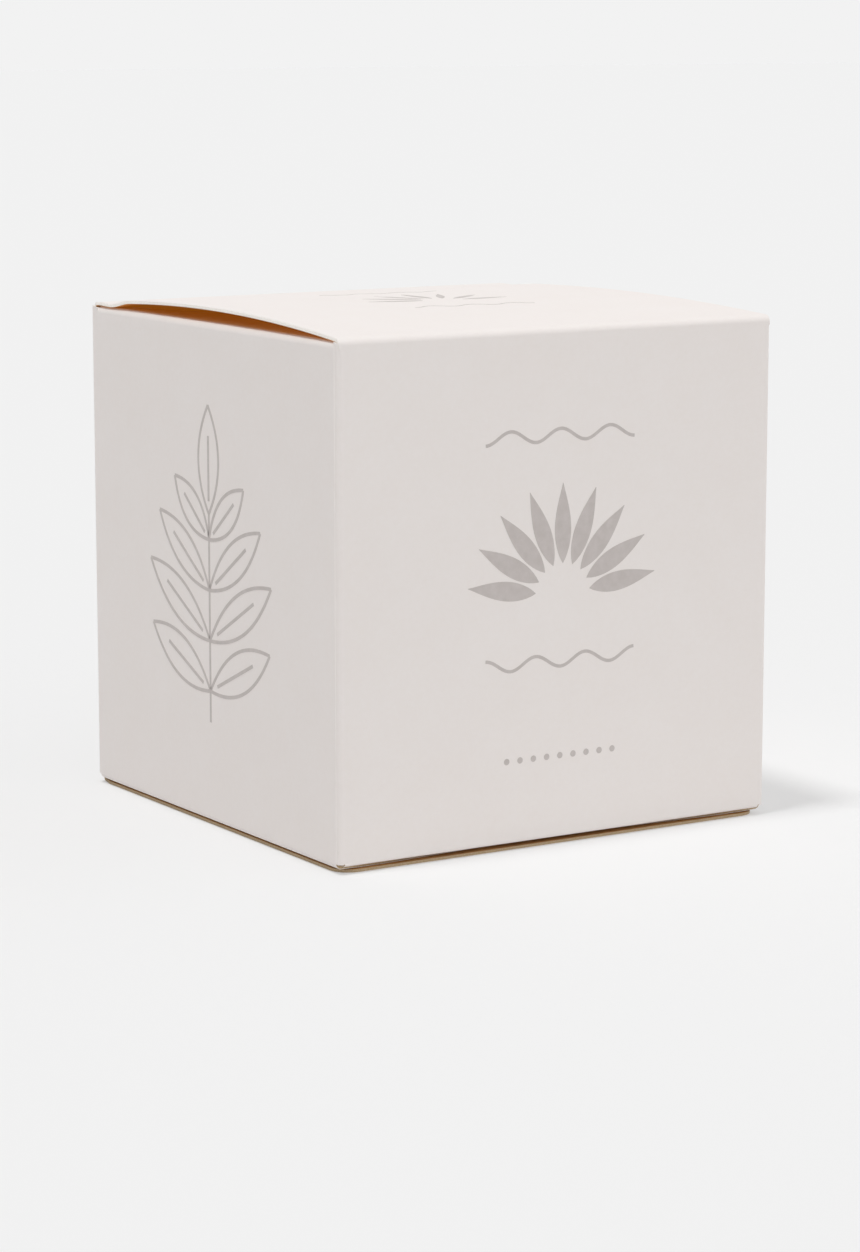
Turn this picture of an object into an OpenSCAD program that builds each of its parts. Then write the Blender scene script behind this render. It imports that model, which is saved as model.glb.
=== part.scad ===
// Tuck-top folding carton, close to a cube.
// One sheet of thin board, white outside and brown kraft inside, is creased and folded into a
// square tube. The bottom flaps are glued in three layers. The lid hinges on the front wall's
// top crease, bows up in the middle, and tucks in behind the back wall.
// Origin: centre of the footprint, on the table. The front wall faces -Y, and +Z is up.

/* [Carton] */
// Outside width of the front wall
carton_w = 71; // [62:1:120]
// Outside depth of the side walls
carton_d = 71; // [62:1:120]
// Height from the table to the top of the lid's front crease
carton_h = 72; // [60:1:140]

/* [Board] */
// Thickness of the board
board_t = 0.45; // [0.3:0.05:0.7]
// Inner radius of the creases between walls and of those that the glue holds shut
crease_in_r = 0.2; // [0.1:0.05:0.5]
// Inner radius of the folds that spring back: the lid's and the top dust flaps'
fold_in_r = 0.55; // [0.2:0.05:0.9]
// Distance that a flap's crease stops short of the corner creases
corner_relief = 0.3; // [0.1:0.1:1]
// Width of the nick that frees each end of a dust flap's fold
fold_nick = 0.1; // [0.05:0.05:0.2]

/* [Lid] */
// Rise of the lid's middle above the line between its two creases
lid_bow = 1.7; // [0.6:0.1:4]
// Height of the lid's back crease above its front crease
lid_lift = 0.1; // [0:0.1:2]
// Distance from the lid's side edge to the side wall's outer face
lid_side_gap = 0.2; // [0.1:0.1:1]
// Distance from the lid's back crease to the back wall's inner face
lid_back_gap = 0.1; // [0.05:0.05:0.5]

/* [Tuck flap] */
// Length of the tuck flap below the lid's back crease
tuck_len = 15; // [8:1:20]
// Angle by which the tuck flap leans in from the back wall
tuck_lean = 8; // [7:1:15]
// Distance from the tuck flap's side edges to the glue flap and to the wall opposite
tuck_side_gap = 0.5; // [0.3:0.1:3]
// Radius of the tuck flap's free corners
tuck_corner_r = 7; // [2:1:7]
// Length of the slit that locks each end of the tuck crease
slit_len = 8; // [3:1:14]
// Width to which the slit opens
slit_w = 0.3; // [0.2:0.05:0.6]

/* [Dust flaps] */
// Length of a top dust flap
dust_len = 28; // [16:1:29]
// Angle by which a top dust flap sags below level
dust_sag = 5; // [1:1:12]
// Running gap between a dust flap and the tuck flap as it swings out
dust_tuck_gap = 0.4; // [0.3:0.1:2]
// Length of the straight shoulder beside the tuck flap
dust_shoulder = 6; // [3:1:10]
// Distance that the edge steps in past the shoulder
dust_step = 3; // [1:0.5:6]
// Length of the slanted corner on the hinge side
dust_chamfer = 10; // [4:1:14]

/* [Bottom flaps] */
// Distance from the outer flap's free edges to the walls' outer faces
bottom_gap = 0.5; // [0.2:0.1:1.5]
// Radius of the outer flap's free corners
bottom_corner_r = 3; // [1:0.5:8]
// Length of a bottom dust flap
bottom_dust_len = 29; // [15:1:29]
// Length of the inner flap, which is folded in first
bottom_inner_len = 44; // [20:1:52]
// Distance that the flaps inside narrow towards their free edges
flap_taper = 2; // [0.5:0.5:5]

/* [Seam] */
// Width of the glue flap inside the right wall
glue_w = 13; // [8:1:20]
// Slant at each end of the glue flap
glue_taper = 4; // [1:0.5:8]
// Distance from the right wall's raw edge to the back wall's outer face
seam_gap = 0.3; // [0.1:0.1:0.5]
// Depth of the back wall's raw top edge below the lid's front crease
back_drop = 0.3; // [0.1:0.1:1]

/* [Hidden] */

$fn = 96;
// Steps along the lid's shallow bow
bow_steps = 24;
// Segments in a rounded corner of a flap
corner_steps = 8;
// Radius of a die-cut corner where nothing else sets it
die_r = 1.5;

white_board = [0.87, 0.84, 0.82];
lid_board = [0.95, 0.93, 0.91];

crease_out_r = crease_in_r + board_t;
fold_out_r = fold_in_r + board_t;

// Heights of the three layers of the bottom: outer flap, dust flaps, inner flap
dust_floor = board_t;
inner_floor = 2 * board_t;

// The top dust flaps lie one board below the lid
dust_roof = carton_h - board_t;

// The walls stand full width between these two heights. Creases begin beyond them.
tube_bottom = inner_floor + crease_out_r;
tube_top = dust_roof - fold_out_r;
front_top = carton_h - fold_out_r;

// The front corners' raw tops reach up inside the front fold, but no further than its diagonal
corner_top = front_top + max(fold_out_r - crease_out_r, 0);

// Half lengths of the creases along the front, side and back walls
front_crease = carton_w / 2 - crease_out_r - corner_relief;
side_crease = carton_d / 2 - crease_out_r - corner_relief;
back_crease_right = front_crease - board_t;

// The front crease's two halves meet on the diagonal, half way round the fold
hinge_turn = 45;

// Lid in side view, as [y, z]: a shallow arc that runs smoothly into its front and back creases
lid_w = carton_w - 2 * lid_side_gap;
front_centre = [fold_out_r - carton_d / 2, front_top];
back_centre = [carton_d / 2 - board_t - lid_back_gap - fold_out_r, front_top + lid_lift];
centre_line = norm(back_centre - front_centre);
rise_angle = asin(lid_lift / centre_line);
rough_angle = 2 * atan(2 * lid_bow / centre_line);
half_bow_angle = 2 * atan(2 * lid_bow / (centre_line + 2 * fold_out_r * sin(rough_angle)));
bow_out_r = fold_out_r + centre_line / 2 / sin(half_bow_angle);
bow_start = 90 + half_bow_angle + rise_angle;
bow_end = 90 - half_bow_angle + rise_angle;
bow_centre = front_centre - (bow_out_r - fold_out_r) * direction(bow_start);

// The slits run along the middle of the back crease
slit_turn = (bow_end - tuck_lean) / 2;

// Reach of a cut past the board that it cuts
cut_reach = 2 * fold_out_r;

// Tuck flap
tuck_half_w = carton_w / 2 - 2 * board_t - tuck_side_gap;
fold_w = 2 * (tuck_half_w - slit_len);
tuck_run = tuck_len * direction(-90 - tuck_lean);
tuck_tip = (back_centre + fold_in_r * direction(-tuck_lean) + tuck_run)[1];

// The swinging tuck flap stays outside a circle round the hinge, and the dust flaps inside it
tuck_inner_reach = back_centre[0] + fold_in_r + carton_d / 2;
dust_back_edge = tuck_inner_reach * cos(tuck_lean) - carton_d / 2 - dust_tuck_gap;
dust_front_edge = min(side_crease, -front_centre[0]);

// The back wall's raw edge is never above the middle of the lid's back crease
back_top = min(carton_h - back_drop, back_centre[1]);

function direction(angle) = [cos(angle), sin(angle)];

// Points of an arc in equal steps
function arc(centre, r, from, to, steps) =
    [for (i = [0 : steps]) centre + r * direction(from + (to - from) * i / steps)];

// The list without its first point, where one arc runs on from another
function rest(points) = [for (i = [1 : len(points) - 1]) points[i]];

function reverse(points) = [for (i = [len(points) - 1 : -1 : 0]) points[i]];

// The lid from its front crease to the tuck flap's tip, at a depth below the outer face
function lid_line(depth) = concat(
    arc(front_centre, fold_out_r - depth, 90 + hinge_turn, bow_start, corner_steps),
    rest(arc(bow_centre, bow_out_r - depth, bow_start, bow_end, bow_steps)),
    rest(arc(back_centre, fold_out_r - depth, bow_end, -tuck_lean, 2 * corner_steps)),
    [back_centre + (fold_out_r - depth) * direction(-tuck_lean) + tuck_run]);

// A top dust flap in section, as [inwards, up] from its crease's centre
function dust_line(depth) = concat(
    arc([0, 0], fold_out_r - depth, 180, 90 - dust_sag, 2 * corner_steps),
    [(fold_out_r - depth) * direction(90 - dust_sag)
     + (dust_len + cut_reach) * direction(-dust_sag)]);

function unit(v) = v / norm(v);

// Points of an arc that rounds the corner at b, between a and c
function rounded_corner(a, b, c, r) =
    let (
        to_a = unit(a - b),
        to_c = unit(c - b),
        half = acos(to_a * to_c) / 2,
        centre = b + unit(to_a + to_c) * r / sin(half),
        from = b + to_a * r / tan(half) - centre,
        side = sign(to_a.x * to_c.y - to_a.y * to_c.x),
        sweep = -side * (180 - 2 * half)
    )
    [for (i = [0 : corner_steps])
        let (turn = sweep * i / corner_steps)
        centre + [from.x * cos(turn) - from.y * sin(turn), from.x * sin(turn) + from.y * cos(turn)]];

// Outline with the corner at each point rounded by its own radius, or left sharp at 0
function rounded(points, radii) =
    let (n = len(points))
    [for (i = [0 : n - 1])
        each radii[i] > 0
            ? rounded_corner(points[(i + n - 1) % n], points[i], points[(i + 1) % n], radii[i])
            : [points[i]]];

// Frame of a wall: x along it, y up, z out through the board from the wall's inner face
module on_wall(turn, reach) {
    rotate([0, 0, turn])
        translate([0, board_t - reach, 0])
            rotate([90, 0, 0])
                children();
}

// Board bent inwards along y, round a crease of the given inner radius
module bend(from_x, to_x, turn, in_r) {
    translate([0, 0, -in_r])
        rotate([0, -90, 0])
            rotate_extrude(angle = turn)
                translate([in_r, -to_x])
                    square([board_t, to_x - from_x]);
}

// Flap that is folded in level under a wall, with its crease along the wall's lower edge
module folded_under(from_x, to_x, crease_z) {
    translate([0, crease_z, 0])
        rotate([0, 0, 180]) {
            bend(from_x, to_x, 90, crease_in_r);
            translate([0, crease_in_r, -crease_in_r])
                rotate([-90, 0, 0])
                    children();
        }
}

// Flat board with the given outline
module panel(points) {
    linear_extrude(board_t)
        polygon(points);
}

// Quarter of a vertical corner crease in plan
module corner_arc(at, from) {
    translate(at)
        rotate(from)
            difference() {
                intersection() {
                    circle(r = crease_out_r);
                    square(crease_out_r);
                }
                circle(r = crease_in_r);
            }
}

// The four walls in plan, as one strip whose two ends meet at the back right corner
module wall_strip() {
    x = carton_w / 2;
    y = carton_d / 2;
    r = crease_out_r;
    translate([-x + r, -y])
        square([carton_w - 2 * r, board_t]);
    translate([-x, -y + r])
        square([board_t, carton_d - 2 * r]);
    translate([-x + r, y - board_t])
        square([carton_w - board_t - 2 * r, board_t]);
    translate([x - board_t, -y + r])
        square([board_t, carton_d - r - seam_gap]);
    front_corners();
    back_corners();
}

module front_corners() {
    for (side = [0, 1])
        mirror([side, 0])
            corner_arc([crease_out_r - carton_w / 2, crease_out_r - carton_d / 2], 180);
}

module back_corners() {
    y = carton_d / 2 - crease_out_r;
    corner_arc([crease_out_r - carton_w / 2, y], 90);
    corner_arc([carton_w / 2 - board_t - crease_out_r, y], 0);
}

// Raw upper ends of the corner creases, beside the flaps
module corner_tops() {
    translate([0, 0, tube_top]) {
        linear_extrude(corner_top - tube_top)
            front_corners();
        linear_extrude(back_top - tube_top)
            back_corners();
    }
}

// Upright stretch of a wall beyond the tube's own height, from z0 to z1
module wall_band(from_x, to_x, z0, z1) {
    translate([from_x, z0, 0])
        cube([to_x - from_x, z1 - z0, board_t]);
}

module glue_flap() {
    translate([carton_w / 2 - board_t, carton_d / 2 - crease_out_r, 0])
        rotate([90, 0, -90])
            panel([[0, tube_bottom], [glue_w, tube_bottom + glue_taper],
                   [glue_w, tube_top - glue_taper], [0, tube_top]]);
}

// Top dust flap, seen from outside, with the tuck flap on its left. Its outline is cut in plan.
// Beside its fold the wall ends in a raw edge, as far as back_end on the tuck flap's side.
module top_dust_flap(back_end) {
    b = -dust_back_edge;
    f = dust_front_edge;
    wall_band(-back_end, b - fold_nick, tube_top, front_top);
    wall_band(f + fold_nick, carton_d / 2 - crease_out_r, tube_top, corner_top);
    translate([0, tube_top, -fold_in_r])
        intersection() {
            translate([b, 0, 0])
                rotate([0, 90, 0])
                    linear_extrude(f - b)
                        polygon(concat(dust_line(0), reverse(dust_line(board_t))));
            translate([0, -dust_len, 0])
                rotate([-90, 0, 0])
                    linear_extrude(dust_len + cut_reach)
                        polygon(rounded(
                            [[b, -cut_reach], [b, dust_shoulder],
                             [b + dust_step, dust_shoulder + dust_step],
                             [b + dust_step + flap_taper, dust_len], [f - dust_chamfer, dust_len],
                             [f, dust_len - dust_chamfer], [f, -cut_reach]],
                            [0, die_r, die_r, 2 * die_r, die_r, die_r, 0]));
        }
}

// Flap that is folded in under the walls, with tapered sides
module bottom_flap(half_w, length, taper, corner_r) {
    panel(rounded(
        [[-half_w, 0], [-half_w + taper, length], [half_w - taper, length], [half_w, 0]],
        [0, corner_r, corner_r, 0]));
}

module side_wall_folds() {
    crease_z = dust_floor + crease_out_r;
    wall_band(-side_crease, side_crease, crease_z, tube_bottom);
    folded_under(-side_crease, side_crease, crease_z)
        bottom_flap(side_crease, bottom_dust_len, flap_taper, die_r);
}

module front_wall_folds() {
    wall_band(-lid_w / 2, lid_w / 2, tube_top, front_top);
    translate([0, front_top, 0])
        bend(-lid_w / 2, lid_w / 2, hinge_turn, fold_in_r);
    folded_under(-front_crease, front_crease, tube_bottom)
        bottom_flap(front_crease, bottom_inner_len, flap_taper, die_r);
}

// Seen from behind, the right wall is on the left
module back_wall_folds() {
    outer_half_w = carton_w / 2 - bottom_gap;
    outer_len = carton_d - crease_out_r - bottom_gap;
    wall_band(-back_crease_right, front_crease, crease_out_r, tube_bottom);
    wall_band(-back_crease_right - corner_relief, front_crease + corner_relief, tube_top, back_top);
    folded_under(-front_crease, back_crease_right, crease_out_r)
        panel(rounded(
            [[-front_crease, 0], [-outer_half_w, flap_taper], [-outer_half_w, outer_len],
             [outer_half_w, outer_len], [outer_half_w, flap_taper], [back_crease_right, 0]],
            [0, 0, bottom_corner_r, bottom_corner_r, 0, 0]));
}

// Walls, bottom flaps, top dust flaps, glue flap and the other half of the front crease
module carton() {
    color(white_board) {
        translate([0, 0, tube_bottom])
            linear_extrude(tube_top - tube_bottom)
                wall_strip();
        corner_tops();
        glue_flap();
        on_wall(0, carton_d / 2)
            front_wall_folds();
        on_wall(180, carton_d / 2)
            back_wall_folds();
        for (side = [-1, 1])
            on_wall(90 * side, carton_w / 2) {
                side_wall_folds();
                mirror([side < 0 ? 0 : 1, 0, 0])
                    top_dust_flap(side < 0 ? carton_d / 2 - crease_out_r : side_crease);
            }
    }
}

// Solid along x from its section in side view, with equal reach to both sides
module across(width) {
    rotate([90, 0, 90])
        linear_extrude(width, center = true)
            children();
}

// Solid in the carton's back half from its outline in front view
module at_back() {
    translate([0, carton_d, 0])
        rotate([90, 0, 0])
            linear_extrude(carton_d)
                children();
}

// What is cut away beside the tuck flap to round its free corners
module tuck_surround() {
    top = back_centre[1];
    at_back()
        difference() {
            translate([-carton_w, tuck_tip - cut_reach])
                square([2 * carton_w, top - tuck_tip + cut_reach]);
            polygon(rounded(
                [[-tuck_half_w, top + cut_reach], [-tuck_half_w, tuck_tip], [tuck_half_w, tuck_tip],
                 [tuck_half_w, top + cut_reach]],
                [0, tuck_corner_r, tuck_corner_r, 0]));
        }
}

// Slit along the middle of the back crease, from the lid's side edge inwards
module slit(side) {
    translate([side * lid_w / 2, back_centre[0], back_centre[1]])
        rotate([slit_turn, 0, 0])
            translate([0, fold_out_r, 0])
                cube([lid_w - fold_w, cut_reach, slit_w], center = true);
}

// Half of the front crease, the bowed panel, the back crease with its slits, and the tuck flap
module lid() {
    color(lid_board)
        difference() {
            across(lid_w)
                polygon(concat(lid_line(0), reverse(lid_line(board_t))));
            for (side = [-1, 1])
                slit(side);
            tuck_surround();
        }
}

carton();
lid();
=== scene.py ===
import math

import bmesh
import bpy
from mathutils import Matrix, Vector


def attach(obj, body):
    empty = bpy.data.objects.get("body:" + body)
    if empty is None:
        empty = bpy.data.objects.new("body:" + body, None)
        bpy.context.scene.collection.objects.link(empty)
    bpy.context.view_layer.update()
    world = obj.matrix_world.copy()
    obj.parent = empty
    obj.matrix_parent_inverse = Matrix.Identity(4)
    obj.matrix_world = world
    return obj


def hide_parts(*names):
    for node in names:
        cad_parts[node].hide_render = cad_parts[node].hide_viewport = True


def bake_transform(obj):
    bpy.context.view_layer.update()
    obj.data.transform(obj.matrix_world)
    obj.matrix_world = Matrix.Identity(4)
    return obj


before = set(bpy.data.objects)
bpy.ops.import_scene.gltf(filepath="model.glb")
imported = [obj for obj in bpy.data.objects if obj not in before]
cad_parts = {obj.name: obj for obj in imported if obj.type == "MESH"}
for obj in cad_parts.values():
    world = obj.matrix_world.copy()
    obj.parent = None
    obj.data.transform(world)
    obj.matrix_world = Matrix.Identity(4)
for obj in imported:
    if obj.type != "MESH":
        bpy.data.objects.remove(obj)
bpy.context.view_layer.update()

scene = bpy.context.scene
MM = 0.001
SAME = 1e-6            # places closer than this are the same

# Sizes of the carton, in millimetres
HALF = 35.5            # half of the carton's width and depth
HEIGHT = 72.0          # table to the top of the lid's front crease
BOARD = 0.45           # thickness of the board
TOP_EDGE_PALE_PAINTED_HIGHLIGHT = 0.42   # depth of the pale ply on the raw edges at the top, nearly all of the board: painted highlight, as the overhead light catches them
LOW_EDGE_PALE_PAINTED_SHADE = 0.06  # and on those of the walls and the bottom flaps, a thin share: painted shade; the real edge has a pale coated ply over a brown kraft ply
CREASE = 0.65          # outer radius of the glued creases and of the upright corners
FLAT = HALF - CREASE   # the walls are flat as far as this from their middle
FOLD = 1.0             # outer radius of the folds that spring back
RELIEF = 0.3           # how far a flap's crease stops short of a corner
NICK = 0.05            # cut that frees each end of a dust flap's fold
TUBE_LOW = 1.65        # the walls stand full width between these two heights
CORNER_LOW = 1.4       # the upright corners reach down to here, between the bottom creases
TUBE_HIGH = HEIGHT - BOARD - FOLD
FRONT_TOP = HEIGHT - FOLD
CORNER_TOP = FRONT_TOP + FOLD - CREASE
BACK_TOP = 71.5        # raw top of the back wall
SEAM = 0.3             # raw edge of the right wall to the back wall's outer face
GLUE_WIDE = 13.0       # glue flap, and how much shorter its free edge is at each end
GLUE_TAPER = 4.0

LID_HALF = 35.3        # half of the lid's width
LID_FRONT = (FOLD - HALF, FRONT_TOP)    # centres of the lid's two bends, in y and z
LID_BACK = (33.95, 71.1)
BOW_LEFT = 1.66        # rise of the lid's middle along its left edge
BOW_RIGHT = 1.05       # and along its right edge, where it lies flatter
TUCK_HALF = 34.1       # half of the tuck flap's width
TUCK_LEN = 15.0
TUCK_LEAN = 8.0        # degrees by which the tuck flap leans in
TUCK_ROUND = 7.0       # radius of its corners
SLIT_IN = 26.1         # the slits reach in to here from the lid's sides
SLIT_WIDE = 0.3
EAR_DROP = 0.45        # the lid's corners, free behind the slits, settle by this on the dust flaps
EAR_PEAK = 5.0         # most of it this far from the back crease
EAR_LEN = 10.0         # and none from here on

SIDE_SPRING = 0.2      # how far the bottom dust flaps stand off the outer flap at their creases
SIDE_BEND = 0.8        # outer radius of those creases
SIDE_SETTLE = 8.0      # distance from the crease at which they lie flat on it
SIDE_FLAP_LEN = 29.0
INNER_LEVEL = 1.0      # height of the inner bottom flap's outer face
INNER_FLAP_LEN = 44.0
INNER_ROUND = 1.5      # radius of the free corners of the dust flaps and of the inner flap
INNER_NARROW = 2.0     # how much closer together their sides are at the free edge
OUTER_MARGIN = 0.5     # the outer bottom flap's edges lie this far inside the walls' outer faces
OUTER_ROUND = 3.0

DUST_BACK = 33.419     # ends of the top dust flaps' folds, along the wall
DUST_FRONT = -34.5
DUST_SAG = 5.0         # degrees by which the top dust flaps hang below level


def direction(degrees):
    a = math.radians(degrees)
    return Vector((math.cos(a), math.sin(a)))


def mix(a, b, t):
    return a + (b - a) * t


def steps(a, b, n):
    return [mix(a, b, i / n) for i in range(n + 1)]


# Colours and materials
BACKGROUND = "F2F2F2"


def colour(hex_code):
    """sRGB hex to linear."""
    out = []
    for i in (0, 2, 4):
        c = int(hex_code[i:i + 2], 16) / 255
        out.append(c / 12.92 if c <= 0.04045 else ((c + 0.055) / 1.055) ** 2.4)
    return (*out, 1.0)


def new_finish(name):
    m = bpy.data.materials.new(name)
    m.use_nodes = True
    m.node_tree.nodes.clear()
    return m, m.node_tree


def add(tree, kind, inputs=None, stops=(), **settings):
    """Adds one node. Inputs are values or another node's sockets, and stops are the places and hex
    colours of a colour ramp."""
    node = tree.nodes.new("ShaderNode" + kind)
    for key, value in settings.items():
        setattr(node, key, value)
    for k, (place, hex_code) in enumerate(stops):
        element = node.color_ramp.elements[k] if k < 2 else node.color_ramp.elements.new(place)
        element.position = place
        element.color = colour(hex_code)
    for key, value in (inputs or {}).items():
        if isinstance(value, bpy.types.NodeSocket):
            tree.links.new(value, node.inputs[key])
        else:
            node.inputs[key].default_value = value
    return node


def coated_board():
    """White clay-coated face of folding boxboard, roll-coated and calendered: smooth, nearly matt,
    with a faint cloudiness where the coat is thinner over the fibres."""
    m, tree = new_finish("clay_coated_board")
    at = add(tree, "TexCoord").outputs["Object"]
    # Cloudiness about 9 mm across, and fibre show-through drawn at 0.7 mm, coarser than the real
    # 0.05 mm so that it shows
    cloud = add(tree, "TexNoise", {"Vector": at, "Scale": 110.0, "Detail": 3.0, "Roughness": 0.55})
    fibre = add(tree, "TexNoise", {"Vector": at, "Scale": 1400.0, "Detail": 2.0, "Roughness": 0.6})
    both = add(tree, "Math", {0: cloud.outputs["Fac"], 1: fibre.outputs["Fac"]}, operation="ADD")
    half = add(tree, "Math", {0: both.outputs[0], 1: 0.5}, operation="MULTIPLY")
    tone = add(tree, "ValToRGB", {"Fac": half.outputs[0]},
               stops=[(0.30, "EFE8E4"), (0.72, "F1EBE8")])
    # Calendered surface: relief of a few microns at fibre scale
    relief = add(tree, "Bump", {"Height": fibre.outputs["Fac"], "Strength": 0.12,
                                "Distance": 0.03 * MM})
    shader = add(tree, "BsdfPrincipled", {"Base Color": tone.outputs[0], "Roughness": 0.62,
                                          "IOR": 1.48, "Normal": relief.outputs["Normal"]})
    add(tree, "OutputMaterial", {"Surface": shader.outputs["BSDF"]})
    return m


def kraft_face(name, glow=0.0):
    """Uncoated back of the board: unbleached kraft fibre, brown and matt, with fibres along the
    machine direction. glow is the strength of a painted glow, a steady orange emission that stands
    in for the light which thin board lets through, filtered to orange, when a strong light falls on
    its other side; it glows the same whatever light falls on the board."""
    m, tree = new_finish(name)
    at = add(tree, "TexCoord").outputs["Object"]
    # Fibres are 0.03 mm wide and 3 mm long, drawn 0.25 mm wide so that they show
    along = add(tree, "Mapping", {"Vector": at, "Scale": (1.0, 1.0, 0.12)})
    fibre = add(tree, "TexNoise", {"Vector": along.outputs[0], "Scale": 4000.0, "Detail": 3.0,
                                   "Roughness": 0.7})
    cloud = add(tree, "TexNoise", {"Vector": at, "Scale": 180.0, "Detail": 2.0})
    both = add(tree, "Math", {0: cloud.outputs["Fac"], 1: fibre.outputs["Fac"]}, operation="ADD")
    half = add(tree, "Math", {0: both.outputs[0], 1: 0.5}, operation="MULTIPLY")
    tone = add(tree, "ValToRGB", {"Fac": half.outputs[0]},
               stops=[(0.30, "B37F49"), (0.72, "CC9C66"), (0.50, "C08D55")])
    relief = add(tree, "Bump", {"Height": fibre.outputs["Fac"], "Strength": 0.4,
                                "Distance": 0.05 * MM})
    # Painted glow: the emission adds steady orange light of strength glow, which does not depend on
    # the light falling on the board
    shader = add(tree, "BsdfPrincipled", {"Base Color": tone.outputs[0], "Roughness": 0.88,
                                          "IOR": 1.45, "Normal": relief.outputs["Normal"],
                                          "Emission Color": colour("C87820"),
                                          "Emission Strength": glow})
    add(tree, "OutputMaterial", {"Surface": shader.outputs["BSDF"]})
    return m


def cut_edge(name, stops):
    """Die-cut edge of one ply, seen end on: fibre ends crushed by the blade, matt and a little
    uneven. The fibres are drawn 0.2 mm wide, coarser than the real ones."""
    m, tree = new_finish(name)
    at = add(tree, "TexCoord").outputs["Object"]
    fibre = add(tree, "TexNoise", {"Vector": at, "Scale": 5000.0, "Detail": 2.0, "Roughness": 0.7})
    tone = add(tree, "ValToRGB", {"Fac": fibre.outputs["Fac"]}, stops=stops)
    relief = add(tree, "Bump", {"Height": fibre.outputs["Fac"], "Strength": 0.5,
                                "Distance": 0.05 * MM})
    shader = add(tree, "BsdfPrincipled", {"Base Color": tone.outputs[0], "Roughness": 0.9,
                                          "IOR": 1.45, "Normal": relief.outputs["Normal"]})
    add(tree, "OutputMaterial", {"Surface": shader.outputs["BSDF"]})
    return m


def offset_ink():
    """Warm grey offset ink on the coat: a thin flat film, slightly uneven, a little glossier than
    the board."""
    m, tree = new_finish("warm_grey_offset_ink")
    at = add(tree, "TexCoord").outputs["Object"]
    # Mottle about 1 mm across, where the ink takes less well
    mottle = add(tree, "TexNoise", {"Vector": at, "Scale": 1000.0, "Detail": 2.0})
    tone = add(tree, "ValToRGB", {"Fac": mottle.outputs["Fac"]},
               stops=[(0.3, "C3BBB7"), (0.8, "CCC4C1")])
    shader = add(tree, "BsdfPrincipled", {"Base Color": tone.outputs[0], "Roughness": 0.5,
                                          "IOR": 1.5})
    add(tree, "OutputMaterial", {"Surface": shader.outputs["BSDF"]})
    return m


COAT, KRAFT, KRAFT_WITH_PAINTED_GLOW, CUT_PALE, CUT_BROWN = range(5)
coat = coated_board()
cut_pale = cut_edge("die_cut_edge_coat_side", [(0.3, "F2EAE2"), (0.7, "FDFAF5")])
cut_brown = cut_edge("die_cut_edge_kraft_side", [(0.3, "A88D6B"), (0.7, "CBB594")])
# The lid's kraft back has a painted orange glow of 0.25, standing in for light let through the lid
# into the gap under it
board_finishes = [coat, kraft_face("kraft_back"), kraft_face("kraft_back_with_painted_glow", glow=0.25),
                  cut_pale, cut_brown]
ink = offset_ink()


def new_piece(name, mesh, finishes, body):
    for finish in finishes:
        mesh.materials.append(finish)
    piece = bpy.data.objects.new(name, mesh)
    scene.collection.objects.link(piece)
    if body:
        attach(piece, body)
    return piece


# Folded board
def make_board(name, body, back, edge_pale_depth_painted, grid):
    """Board from a grid of cells. grid holds rows of points, each a place on the outer face in
    millimetres and the outward direction there, or None where the sheet has been cut away. A cell
    is board where all four of its points are, and raw edges close it. back is the finish of the
    inner face, and edge_pale_depth_painted the depth of the pale ply on the raw edges below the
    tube's top. The raw edges have a pale coated ply over a brown kraft ply; drawing the pale ply
    deeper at the top than lower down paints the top edges lighter, a painted highlight, and the
    lower ones darker, painted shade."""
    bm = bmesh.new()
    cells = set()
    corners = {}
    facing = []

    def corner(i, j, depth):
        key = (i, j, depth)
        if key not in corners:
            place, out = grid[i][j]
            corners[key] = bm.verts.new((place - out * depth) * MM)
        return corners[key]

    def face(points, finish):
        f = bm.faces.new([corner(*p) for p in points])
        f.material_index = finish
        f.smooth = finish < CUT_BROWN
        facing.append((f, points))

    rows, columns = len(grid), len(grid[0])
    for i in range(rows - 1):
        for j in range(columns - 1):
            if grid[i][j] and grid[i][j + 1] and grid[i + 1][j + 1] and grid[i + 1][j]:
                cells.add((i, j))
    for i, j in sorted(cells):
        ring = [(i, j), (i, j + 1), (i + 1, j + 1), (i + 1, j)]
        face([(a, b, 0) for a, b in ring], COAT)
        face([(a, b, BOARD) for a, b in reversed(ring)], back)
        # Painted light: the pale ply is drawn deep on raw edges at the top, a painted highlight,
        # and thin on those of the walls lower down, painted shade
        drawn = TOP_EDGE_PALE_PAINTED_HIGHLIGHT if grid[i][j][0].z > TUBE_HIGH - SAME else edge_pale_depth_painted
        beside = [(i - 1, j), (i, j + 1), (i + 1, j), (i, j - 1)]
        for k, other in enumerate(beside):
            if other not in cells:
                a, b = ring[k], ring[(k + 1) % 4]
                for top, low, ply in ((0, drawn, CUT_PALE), (drawn, BOARD, CUT_BROWN)):
                    face([(*b, top), (*a, top), (*a, low), (*b, low)], ply)
    bm.normal_update()
    mesh = bpy.data.meshes.new(name)
    bm.to_mesh(mesh)
    # Faces of the sheet are shaded by the sheet's own direction, so that a crease next to a flat
    # wall stays crisp
    normals = []
    for f, points in facing:
        for i, j, depth in points:
            out = grid[i][j][1]
            if f.material_index < CUT_PALE:
                normals.append(tuple(out if depth == 0 else -out))
            elif f.material_index == CUT_PALE and depth == 0:
                # the blade rounds the coated side of the edge
                normals.append(tuple((f.normal + out).normalized()))
            else:
                normals.append(tuple(f.normal))
    bm.free()
    mesh.normals_split_custom_set(normals)
    return new_piece(name, mesh, board_finishes, body)


def edge_at(distance, outline):
    """Where a flap's side edge runs at a distance from its crease. outline lists distances and
    places along the crease, with straight lines between."""
    for (d0, l0), (d1, l1) in zip(outline, outline[1:]):
        if d0 <= distance <= d1:
            return mix(l0, l1, (distance - d0) / (d1 - d0) if d1 > d0 else 1.0)
    return outline[-1][1]


def round_corner(side, end, radius, inwards):
    """Outline of a flap's free corner, a quarter circle. side is where the side edge runs before
    the corner, and inwards is 1 or -1, the way to the flap's middle."""
    return [(end - radius + radius * math.sin(math.radians(a)),
             side + inwards * (radius - radius * math.cos(math.radians(a))))
            for a in steps(0, 90, 8)]


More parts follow.
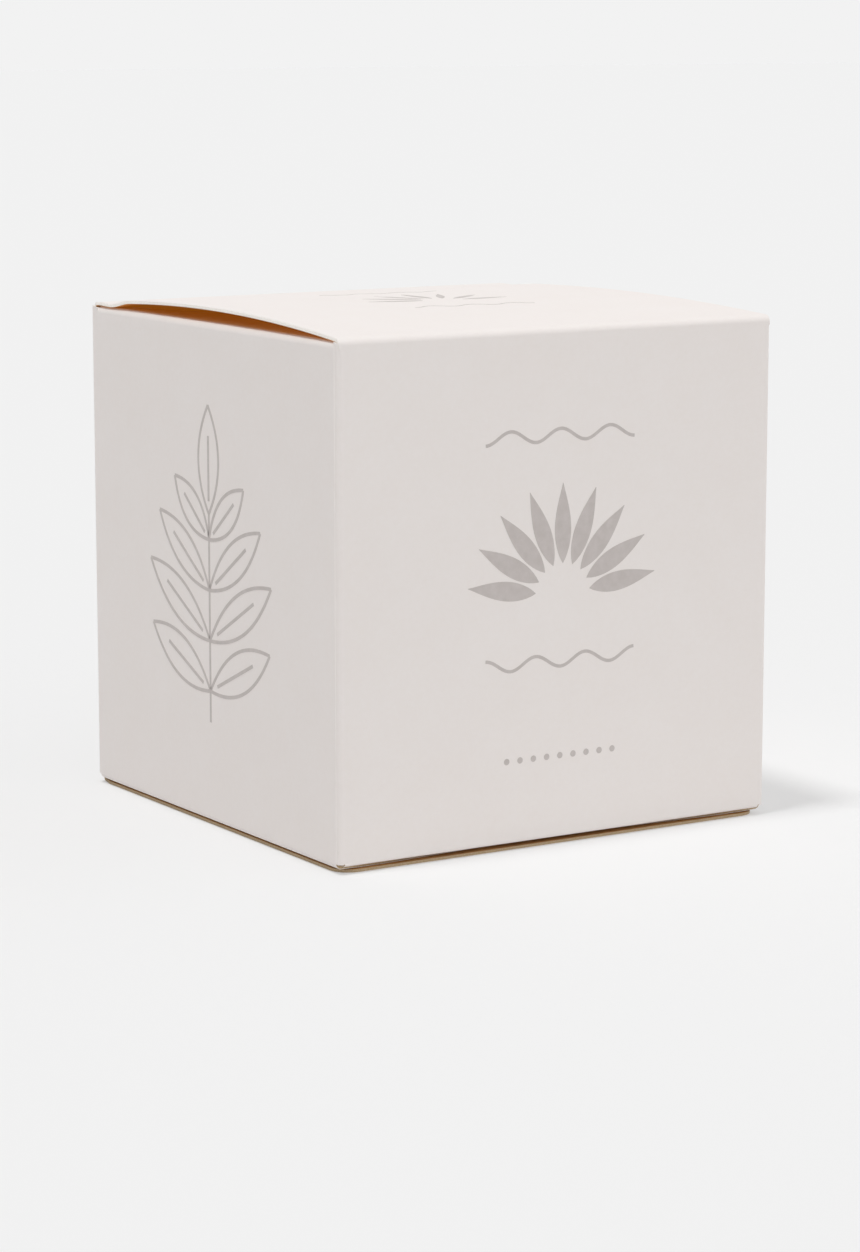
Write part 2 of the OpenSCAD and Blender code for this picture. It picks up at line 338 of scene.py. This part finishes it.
def wall_columns():
    """The walls run round the tube as the blank does: glue flap, back, left, front, right. Each
    column of the grid has a place in plan, the outward direction there, the wall that it belongs to
    and its distance along that wall, or its angle in a corner."""
    out = []

    def corner(centre, start, name):
        for a in steps(start, start + 90, 6)[1:-1]:
            n = direction(a)
            out.append((Vector(centre) + CREASE * n, n, name, a))

    def wall(name, places, fixed, axis, n):
        for p in places:
            plan = Vector((fixed, p)) if axis == "y" else Vector((p, fixed))
            out.append((plan, Vector(n), name, p))

    flap = FLAT - RELIEF
    side = [FLAT, flap, DUST_BACK + NICK] + steps(DUST_BACK, DUST_FRONT, 30) \
        + [-flap, DUST_FRONT - NICK, -FLAT]
    wall("glue", steps(FLAT - GLUE_WIDE, FLAT, 3), HALF - BOARD, "y", (1, 0))
    corner((FLAT - BOARD, FLAT), 0, "back_right")
    wall("back", [FLAT - BOARD] + steps(FLAT - BOARD - RELIEF, -flap, 30) + [-FLAT],
         HALF, "x", (0, 1))
    corner((-FLAT, FLAT), 90, "back_left")
    wall("left", side, -HALF, "y", (-1, 0))
    corner((-FLAT, -FLAT), 180, "front_left")
    wall("front", [-FLAT] + steps(-flap, flap, 30) + [FLAT], -HALF, "x", (0, -1))
    corner((FLAT, -FLAT), 270, "front_right")
    wall("right", side[::-1] + [HALF - SEAM], HALF, "y", (1, 0))
    return out


def upright(plan, n, z):
    return Vector((*plan, z)), Vector((*n, 0))


def over(plan, n, inwards, z, lean):
    """Place above or inside the wall at plan, moved inwards, with the outer face turned by lean
    degrees from the wall's outward direction to up."""
    c, s = math.cos(math.radians(lean)), math.sin(math.radians(lean))
    return Vector((*(plan - n * inwards), z)), Vector((*(n * c), s))


# Side edges of the top dust flaps, as distances from the fold and places along the wall. At the
# back there is a shoulder for the slit lock, then a step in, and at the front a long slant.
DUST_OUTLINE_BACK = [(0, DUST_BACK), (6, DUST_BACK), (9, DUST_BACK - 3), (27, DUST_BACK - 4.9),
                     (27.6, DUST_BACK - 5.4), (28, DUST_BACK - 6.6)]
DUST_OUTLINE_FRONT = [(0, DUST_FRONT), (17.6, DUST_FRONT), (18.6, DUST_FRONT + 0.9),
                      (27.2, DUST_FRONT + 9.3), (28, DUST_FRONT + 10.6)]
# Distances from the fold at which the flap's rows stand
DUST_ROWS = [0.6, 2, 4, 6, 7.5, 9, 12, 15, 17.6, 18.1, 18.6, 21, 24, 27, 27.2, 27.6, 28]


def top_rows(plan, n, name, p):
    """Points of one column above the tube."""
    if name in ("left", "right"):
        if DUST_FRONT - SAME <= p <= DUST_BACK + SAME:
            rows = []
            for lean in steps(0, 90 + DUST_SAG, 10)[1:]:
                rows.append(over(plan, n, FOLD * (1 - math.cos(math.radians(lean))),
                                 TUBE_HIGH + FOLD * math.sin(math.radians(lean)), lean))
            t = (p - DUST_BACK) / (DUST_FRONT - DUST_BACK)
            bend_end = FOLD * (1 + math.sin(math.radians(DUST_SAG)))
            bend_z = TUBE_HIGH + FOLD * math.cos(math.radians(DUST_SAG))
            for d in DUST_ROWS:
                at = Vector((plan.x, mix(edge_at(d, DUST_OUTLINE_BACK),
                                         edge_at(d, DUST_OUTLINE_FRONT), t)))
                drop = (d - (bend_end - FOLD)) * math.tan(math.radians(DUST_SAG))
                rows.append(over(at, n, FOLD + d, bend_z - drop, 90 + DUST_SAG))
            return rows
        if DUST_BACK + NICK / 2 < p <= (FLAT if name == "left" else FLAT - RELIEF) + SAME:
            return [upright(plan, n, CORNER_TOP)]
        if p < DUST_FRONT - NICK + SAME:
            # The raw top follows the inside of the lid's front fold, a hair below it
            inner = FOLD - BOARD - 0.02
            return [upright(plan, n, FRONT_TOP + math.sqrt(inner ** 2 - (p - LID_FRONT[0]) ** 2))]
    if name in ("front_left", "front_right"):
        return [upright(plan, n, CORNER_TOP)]
    if name in ("back", "back_left", "back_right"):
        return [upright(plan, n, BACK_TOP)]
    return []


def bottom_rows(plan, n, name, p):
    """Points of one column below the tube, from the free edge of its bottom flap up. first and last
    are the ends of the flap's crease, in the order of the columns."""
    flap = FLAT - RELIEF
    side_wall = name in ("left", "right")
    outer = name == "back"
    if side_wall:
        bend, crease_z, length = SIDE_BEND, BOARD + SIDE_SPRING + SIDE_BEND, SIDE_FLAP_LEN
        first, last = flap, -flap
    elif name == "front":
        bend, crease_z, length = CREASE, INNER_LEVEL + CREASE, INNER_FLAP_LEN
        first, last = -flap, flap
    elif outer:
        bend, crease_z, length = CREASE, CREASE, 2 * HALF - CREASE - OUTER_MARGIN
        first, last = flap - BOARD, -flap
    else:
        return [] if name == "glue" else [upright(plan, n, CORNER_LOW)]
    if p > max(first, last) + SAME or p < min(first, last) - SAME:
        return [upright(plan, n, CORNER_LOW)]
    t = (p - first) / (last - first)
    rows = []
    if crease_z < TUBE_LOW - SAME:
        rows.append(upright(plan, n, crease_z))
    for lean in steps(0, 90, 8)[1:]:
        s, c = math.sin(math.radians(lean)), math.cos(math.radians(lean))
        rows.append((Vector((*(plan - n * bend * (1 - c)), crease_z - bend * s)),
                     Vector((*(n * c), -s))))
    # The outer flap widens to nearly the full carton just past its crease, the others narrow
    radius = OUTER_ROUND if outer else INNER_ROUND
    narrow = 0.0 if outer else INNER_NARROW * (length - radius) / length
    outlines = []
    for end in (first, last):
        inwards = -math.copysign(1, end)
        outline = [(0, end)]
        if outer:
            outline.append((2, math.copysign(HALF - OUTER_MARGIN, end)))
        outlines.append(outline + round_corner(outline[-1][1] + inwards * narrow, length, radius,
                                               inwards))
    straight = steps(2, length - radius, 8)
    rounded = [length - radius + radius * math.sin(math.radians(a)) for a in steps(0, 90, 8)[1:]]
    for d in straight + rounded:
        level = mix(edge_at(d, outlines[0]), edge_at(d, outlines[1]), t)
        at = Vector((plan.x, level)) if side_wall else Vector((level, plan.y))
        low = crease_z - bend
        if side_wall:
            low -= SIDE_SPRING * (1 - (1 - min(d / SIDE_SETTLE, 1)) ** 2)
        rows.append((Vector((*(at - n * (bend + d)), low)), Vector((0, 0, -1))))
    return rows[::-1]


def wall_grid():
    columns = wall_columns()
    above = [top_rows(*c) for c in columns]
    below = [bottom_rows(*c) for c in columns]
    n_above = max(len(a) for a in above)
    n_below = max(len(b) for b in below)
    heights = steps(TUBE_LOW, TUBE_HIGH, 40)
    glue_start = columns[0][0].y
    grid = [[None] * len(columns) for _ in range(n_below + len(heights) + n_above)]
    for j, (plan, n, name, p) in enumerate(columns):
        for k, row in enumerate(below[j]):
            grid[n_below - len(below[j]) + k][j] = row
        for k, z in enumerate(heights):
            if name == "glue":
                taper = GLUE_TAPER * (1 - (plan.y - glue_start) / GLUE_WIDE)
                z = mix(TUBE_LOW + taper, TUBE_HIGH - taper, k / (len(heights) - 1))
            grid[n_below + k][j] = upright(plan, n, z)
        for k, row in enumerate(above[j]):
            grid[n_below + len(heights) + k][j] = row
    return grid


# Lid
def lid_section(bow):
    """The lid's outer face in side view, in y and z, for a given rise of its middle: centres of the
    front fold and of the back crease, centre and radius of the bowed panel between them, and the
    directions from that centre in which the panel starts and ends."""
    front, back = Vector(LID_FRONT), Vector(LID_BACK)
    span = back - front
    chord = span.length
    rise = math.degrees(math.asin(span.y / chord))
    # The panel's own chord is longer than that of the centres by what the two bends add
    rough = 2 * math.degrees(math.atan(2 * bow / chord))
    half = 2 * math.degrees(math.atan(2 * bow / (chord + 2 * FOLD * math.sin(math.radians(rough)))))
    radius = FOLD + chord / 2 / math.sin(math.radians(half))
    start, end = 90 + half + rise, 90 - half + rise
    centre = front - (radius - FOLD) * direction(start)
    return front, back, centre, radius, start, end


def lid_point(section, part, t):
    """Place and outward direction, in y and z, at a share t of one part of the lid."""
    front, back, centre, radius, start, end = section
    if part == "front":
        a = mix(180, start, t)
        return front + FOLD * direction(a), direction(a)
    if part == "panel":
        a = mix(start, end, t)
        return centre + radius * direction(a), direction(a)
    if part == "back":
        a = mix(end, -TUCK_LEAN, t)
        return back + FOLD * direction(a), direction(a)
    n = direction(-TUCK_LEAN)
    return back + FOLD * n + t * TUCK_LEN * direction(-90 - TUCK_LEAN), n


def bow_at(x):
    """Rise of the lid's middle at a distance from its centre line."""
    return mix(BOW_LEFT, BOW_RIGHT, (x / LID_HALF + 1) / 2)


def smooth(t):
    t = max(0.0, min(1.0, t))
    return t * t * (3 - 2 * t)


def ear_drop(x, s):
    """How far a corner of the lid has settled, s from the back crease."""
    across = smooth((abs(x) - SLIT_IN) / (LID_HALF - SLIT_IN)) * bow_at(x) / BOW_LEFT
    if s < EAR_PEAK:
        return EAR_DROP * across * mix(0.1, 1.0, smooth(s / EAR_PEAK))
    return EAR_DROP * across * (1 - smooth((s - EAR_PEAK) / (EAR_LEN - EAR_PEAK)))


def settle(x, s, at, n):
    """Lowers a place on the lid's corner, and tilts its outward direction by the slopes there."""
    d = 0.05    # the slopes are taken over this distance to either side
    by_x = (ear_drop(x + d, s) - ear_drop(x - d, s)) / (2 * d)
    by_s = (ear_drop(x, s + d) - ear_drop(x, s - d)) / (2 * d) if s > 0 else 0.0
    out = Vector((by_x, n.x / n.y - by_s, 1.0)) * n.y
    return Vector((x, at.x, at.y - ear_drop(x, s))), out.normalized()


def lid_grid():
    across = [-LID_HALF, -TUCK_HALF] + steps(-TUCK_HALF, -SLIT_IN, 6)[1:] \
        + steps(-SLIT_IN, SLIT_IN, 24)[1:] + steps(SLIT_IN, TUCK_HALF, 6)[1:] + [LID_HALF]
    rows = [("panel", t) for t in steps(0, 0.84, 40) + steps(0.84, 1, 20)[1:]]
    turns = [0.15, 0.3, 0.42, "slit_high", "slit", "slit_low", 0.6, 0.75, 0.9, 1.0]
    rows += [("back", t) for t in turns]
    drop = 1 - TUCK_ROUND / (TUCK_LEN * math.cos(math.radians(TUCK_LEAN)))
    rows += [("tuck", t) for t in steps(0, drop, 8)[1:]]
    rows += [("tuck", drop + (1 - drop) * math.sin(math.radians(a))) for a in steps(0, 90, 10)[1:]]
    chord = (Vector(LID_BACK) - Vector(LID_FRONT)).length
    grid = []
    for part, t in rows:
        line = []
        for x in across:
            section = lid_section(bow_at(x))
            end = section[5]
            u = t
            if isinstance(t, str):
                # the slit's two edges and its middle, as shares of the back crease's turn
                reach = math.degrees(SLIT_WIDE / 2 / FOLD) / (end + TUCK_LEAN)
                u = 0.5 + reach * {"slit_high": -1, "slit": 0, "slit_low": 1}[t]
            past_slit = part == "tuck" or part == "back" and u > 0.5
            at, n = lid_point(section, part, u)
            widest = TUCK_HALF if past_slit else SLIT_IN if t == "slit" else LID_HALF
            if abs(x) > widest + SAME:
                line.append(None)
            elif not past_slit and abs(x) > SLIT_IN:
                line.append(settle(x, (1 - u) * chord if part == "panel" else 0.0, at, n))
            else:
                px = x
                if part == "tuck" and t > drop:
                    a = math.asin(min(1, (t - drop) / (1 - drop)))
                    px = x * (TUCK_HALF - TUCK_ROUND * (1 - math.cos(a))) / TUCK_HALF
                line.append((Vector((px, at.x, at.y)), Vector((0, n.x, n.y))))
        grid.append(line)
    return grid


def front_fold_grid():
    """The lid's front fold, from the wall's upper end to the bowed panel."""
    across = steps(-LID_HALF, LID_HALF, 40)
    grid = []
    for z in (TUBE_HIGH, FRONT_TOP):
        grid.append([(Vector((x, -HALF, z)), Vector((0, -1, 0))) for x in across])
    for t in steps(0, 1, 12)[1:]:
        line = []
        for x in across:
            at, n = lid_point(lid_section(bow_at(x)), "front", t)
            line.append((Vector((x, at.x, at.y)), Vector((0, n.x, n.y))))
        grid.append(line)
    return grid


walls = make_board("folded_walls_and_flaps", "carton", KRAFT, LOW_EDGE_PALE_PAINTED_SHADE,
                   wall_grid())
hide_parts("carton")
lid = make_board("bowed_lid_with_tuck_flap", "lid", KRAFT_WITH_PAINTED_GLOW, TOP_EDGE_PALE_PAINTED_HIGHLIGHT,
                 lid_grid())
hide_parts("lid")
front_fold = make_board("front_crease_of_lid", None, KRAFT_WITH_PAINTED_GLOW, TOP_EDGE_PALE_PAINTED_HIGHLIGHT,
                        front_fold_grid())
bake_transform(front_fold)


# Print
INK_HIGH, INK_LOW = 0.02, -0.01    # a film on the coat, thick enough here to show


# Place and outward direction of a point of the print. u runs sideways from the middle, and v runs
# up from the table on the walls, and back from the middle on the lid.
def front_place(u, v):
    return Vector((u, -HALF, v)), Vector((0, -1, 0))


def left_place(u, v):
    return Vector((-HALF, -u, v)), Vector((-1, 0, 0))


def lid_place(u, v):
    centre, radius = lid_section(bow_at(u))[2:4]
    a = math.acos((v - centre.x) / radius)
    n = Vector((math.cos(a), math.sin(a)))
    at = centre + radius * n
    return Vector((u, at.x, at.y)), Vector((0, n.x, n.y))


def print_ink(name, body, place, strokes):
    """Film of ink from strokes, each a list of (point, half width) along its middle line. Strokes
    that cross lie a few microns above each other."""
    bm = bmesh.new()
    for number, stroke in enumerate(strokes):
        high = INK_HIGH + 0.004 * (number % 4)
        rings = []
        for k, (p, half) in enumerate(stroke):
            before, after = stroke[max(k - 1, 0)][0], stroke[min(k + 1, len(stroke) - 1)][0]
            along = (Vector(after) - Vector(before)).normalized()
            aside = Vector((-along.y, along.x)) * half
            ring = []
            for side, depth in ((1, high), (-1, high), (-1, INK_LOW), (1, INK_LOW)):
                at, n = place(*(Vector(p) + side * aside))
                ring.append(bm.verts.new((at + n * depth) * MM))
            rings.append(ring)
        for a, b in zip(rings, rings[1:]):
            for i in range(4):
                bm.faces.new((a[i], a[(i + 1) % 4], b[(i + 1) % 4], b[i]))
        bm.faces.new(rings[0][::-1])
        bm.faces.new(rings[-1])
    bmesh.ops.recalc_face_normals(bm, faces=bm.faces)
    mesh = bpy.data.meshes.new(name)
    bm.to_mesh(mesh)
    bm.free()
    return new_piece(name, mesh, [ink], body)


def wave(centre, width, rise, weight, flip=1):
    """Three waves in a row."""
    return [((centre[0] + width * (t - 0.5), centre[1] - flip * rise * math.cos(6 * math.pi * t)),
             weight / 2) for t in steps(0, 1, 96)]


def bent_line(a, b, sag, weight, n=24):
    """Line from a to b that bows out to its left by sag."""
    a, b = Vector(a), Vector(b)
    aside = Vector((a.y - b.y, b.x - a.x)).normalized()
    return [(tuple(mix(a, b, t) + aside * sag * 4 * t * (1 - t)), weight / 2)
            for t in steps(0, 1, n)]


def solid_leaf(base, tip, width):
    """Pointed leaf in solid ink, fullest a little above its base."""
    return [(p, max(0.03, width / 2 * math.sin(math.pi * (k / 16) ** 0.8)))
            for k, (p, _) in enumerate(bent_line(base, tip, 0, 0, 16))]


def leaf_outline(base, tip, width, weight):
    """Pointed leaf in outline, with its midrib."""
    edge = width / 2
    first = tuple(mix(Vector(base), Vector(tip), 0.12))
    last = tuple(mix(Vector(base), Vector(tip), 0.72))
    return [bent_line(base, tip, edge, weight), bent_line(base, tip, -edge, weight),
            bent_line(first, last, 0, weight)]


def dot(at, size):
    r = size / 2
    return [((at[0] - r * math.cos(a), at[1]), max(0.02, r * math.sin(a)))
            for a in steps(0, math.pi, 10)]


def leaf_fan(centre, inner, reach, leaf_wide, count):
    """Solid leaves that spread from a centre in a half circle."""
    out = []
    for a in steps(math.radians(8), math.radians(172), count - 1):
        ray = Vector((math.cos(a), math.sin(a)))
        base, tip = Vector(centre) + inner * ray, Vector(centre) + reach * ray
        out.append(solid_leaf(tuple(base), tuple(tip), leaf_wide))
    return out


def sprig(foot, height, spread, leaf_wide, weight, pairs):
    """Upright stem with pairs of leaves in outline, longest in the middle."""
    fx, fy = foot
    top = height * 0.66
    out = [bent_line(foot, (fx, fy + top), 0, weight, 40)]
    for k in range(pairs):
        y = fy + height * 0.1 + (top - height * 0.18) * k / (pairs - 1)
        size = spread * (0.93, 1.0, 0.88, 0.64)[k]
        for side in (-1, 1):
            a = math.radians(24 + 5 * k)
            out += leaf_outline((fx, y), (fx + side * size * math.cos(a), y + size * math.sin(a)),
                                leaf_wide * (1 - 0.06 * k), weight)
    out += leaf_outline((fx, fy + top), (fx, fy + height), leaf_wide, weight)
    return out


print_ink("front_wave_above", "carton", front_place,
          [wave((-0.1, 57.25), 24.5, 0.85, 0.46)])
print_ink("front_wave_below", "carton", front_place,
          [wave((0.0, 26.0), 24.6, 0.85, 0.46, -1)])
print_ink("front_leaf_fan", "carton", front_place,
          leaf_fan((0.3, 35.0), 4.5, 15.6, 2.7, 9))
print_ink("front_row_of_dots", "carton", front_place,
          [dot((x, 12.6), 0.9) for x in steps(-8.8, 8.8, 8)])
print_ink("left_leaf_sprig", "carton", left_place,
          sprig((0.0, 15.0), 45.0, 20.0, 5.8, 0.5, 4))
print_ink("lid_wave_in_front", "lid", lid_place, [wave((1, -11.5), 20, 0.7, 0.3)])
print_ink("lid_wave_behind", "lid", lid_place, [wave((1, 13.5), 20, 0.7, 0.3, -1)])
print_ink("lid_leaf_fan", "lid", lid_place, leaf_fan((1, -4.0), 3.4, 11.8, 1.2, 7))


# Floor, light and camera
def seen_directly(tree):
    """1 for a ray that shows the background, straight, in gloss or through glass, and 0 for one
    that lights the carton."""
    path = add(tree, "LightPath")
    seen = add(tree, "Math", {0: path.outputs["Is Camera Ray"], 1: path.outputs["Is Glossy Ray"]},
               operation="MAXIMUM")
    seen = add(tree, "Math", {0: seen.outputs[0], 1: path.outputs["Is Transmission Ray"]},
               operation="MAXIMUM")
    return seen.outputs[0]


bpy.ops.mesh.primitive_plane_add(size=12, location=(0, 0, 0))
table = bpy.context.object
table.name = "table_top"
pale_table, tree = new_finish("pale_table")
seen = seen_directly(tree)
# Part of the table's tone is even, so that it fades into the background and keeps the shadow
lit = add(tree, "BsdfDiffuse", {"Color": colour("EFEFEF")})
even = add(tree, "Emission", {"Color": colour(BACKGROUND), "Strength": 1.0})
share = add(tree, "Math", {0: seen, 1: 0.4}, operation="MULTIPLY")
blend = add(tree, "MixShader", {0: share.outputs[0], 1: lit.outputs[0], 2: even.outputs[0]})
add(tree, "OutputMaterial", {"Surface": blend.outputs[0]})
table.data.materials.append(pale_table)

world = bpy.data.worlds.new("studio")
scene.world = world
world.use_nodes = True
world.node_tree.nodes.clear()
tree = world.node_tree
seen = seen_directly(tree)
# The room is a little brighter in front and on the right than on the left
towards = add(tree, "TexCoord").outputs["Generated"]
side = add(tree, "VectorMath", {0: towards, 1: (0.24, -0.225, 0.0)}, operation="DOT_PRODUCT")
level = add(tree, "Math", {0: side.outputs["Value"], 1: 0.57}, operation="ADD")
soft = add(tree, "Background", {"Color": (1, 1, 1, 1), "Strength": level.outputs[0]})
plain = add(tree, "Background", {"Color": colour(BACKGROUND), "Strength": 1.0})
blend = add(tree, "MixShader", {0: seen, 1: soft.outputs[0], 2: plain.outputs[0]})
add(tree, "OutputWorld", {"Surface": blend.outputs[0]})

softbox = bpy.data.lights.new("softbox_overhead", "SUN")
softbox.energy = 1.45
softbox.angle = math.radians(9)
lamp = bpy.data.objects.new("softbox_overhead", softbox)
scene.collection.objects.link(lamp)
lamp.rotation_euler = Vector((0.245, 0.0, -1.0)).to_track_quat("-Z", "Y").to_euler()

# The camera looks at the carton's middle from 522.6 mm away, and is then moved sideways and down
# to frame it as the photograph does
az, el = math.radians(32.10), math.radians(9.72)
ahead = Vector((math.sin(az) * math.cos(el), math.cos(az) * math.cos(el), -math.sin(el)))
right = Vector((math.cos(az), -math.sin(az), 0))
up = right.cross(ahead)
stand = Vector((0, 0, HEIGHT / 2)) - ahead * 522.6 + right * 0.90 - up * 10.26
camera = bpy.data.objects.new("camera", bpy.data.cameras.new("camera"))
scene.collection.objects.link(camera)
camera.data.sensor_width = 36
camera.data.lens = 3589 * 36 / 1252    # focal length in pixels of the 1252 pixel high picture
camera.data.clip_start = 0.01
turn = Matrix((right, up, -ahead)).transposed().to_4x4()
camera.matrix_world = Matrix.Translation(stand * MM) @ turn
scene.camera = camera

scene.view_settings.view_transform = "Standard"
